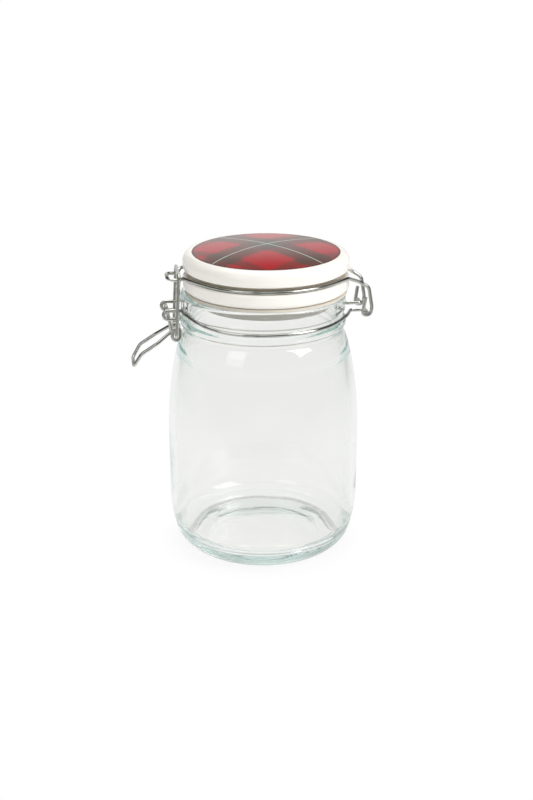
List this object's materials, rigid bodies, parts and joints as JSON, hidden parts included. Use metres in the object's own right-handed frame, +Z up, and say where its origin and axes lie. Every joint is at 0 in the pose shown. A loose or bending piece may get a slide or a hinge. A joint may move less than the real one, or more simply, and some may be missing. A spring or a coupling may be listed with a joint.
{
  "type": "storage jar",
  "caption": "Clear glass storage jar with a glazed ceramic lid, a seal and a steel wire clip, hinged at the back",
  "frame": {"origin": "on the jar's axis, on the plane that its foot stands on", "axes": "+Z up along the jar's axis, -X toward the clip's lever, +X toward the lid's hinge, +Y along the hinge"},
  "size_m": [0.136, 0.1092, 0.1752],
  "materials": {
    "glass_jar": "clear moulded glass, smooth",
    "ceramic_lid": "cream glaze with a round red and green checked print on top",
    "seal_ring": "pale natural rubber",
    "neck_wire": "bright drawn steel wire",
    "lid_wire": "bright drawn steel wire",
    "clip_link": "bright drawn steel wire",
    "clip_lever": "bright drawn steel wire"
  },
  "bodies": {
    "jar": {"glass_jar": "glass_jar", "neck_wire": "neck_wire"},
    "lid": {"ceramic_lid": "ceramic_lid", "seal_ring": "seal_ring", "lid_wire": "lid_wire"},
    "lever": {"clip_lever": "clip_lever"},
    "link": {"clip_link": "clip_link"}
  },
  "joints": [
    {"name": "lid_hinge", "type": "hinge", "parent": "jar", "child": "lid", "pos_m": [0.0572, 0, 0.1393], "axis": [0, 1, 0], "range_deg": [0, 105]},
    {"name": "lever_turn", "type": "hinge", "parent": "jar", "child": "lever", "pos_m": [-0.0543, 0, 0.141], "axis": [0, 1, 0], "range_deg": [0, 115]},
    {"name": "link_swing", "type": "hinge", "parent": "lever", "child": "link", "pos_m": [-0.04976, 0, 0.1284], "axis": [0, 1, 0], "range_deg": [-299, 0]}
  ],
  "couplings": [
    {"joint": "link_swing", "follows": "lever_turn", "ratio": -2.6}
  ]
}
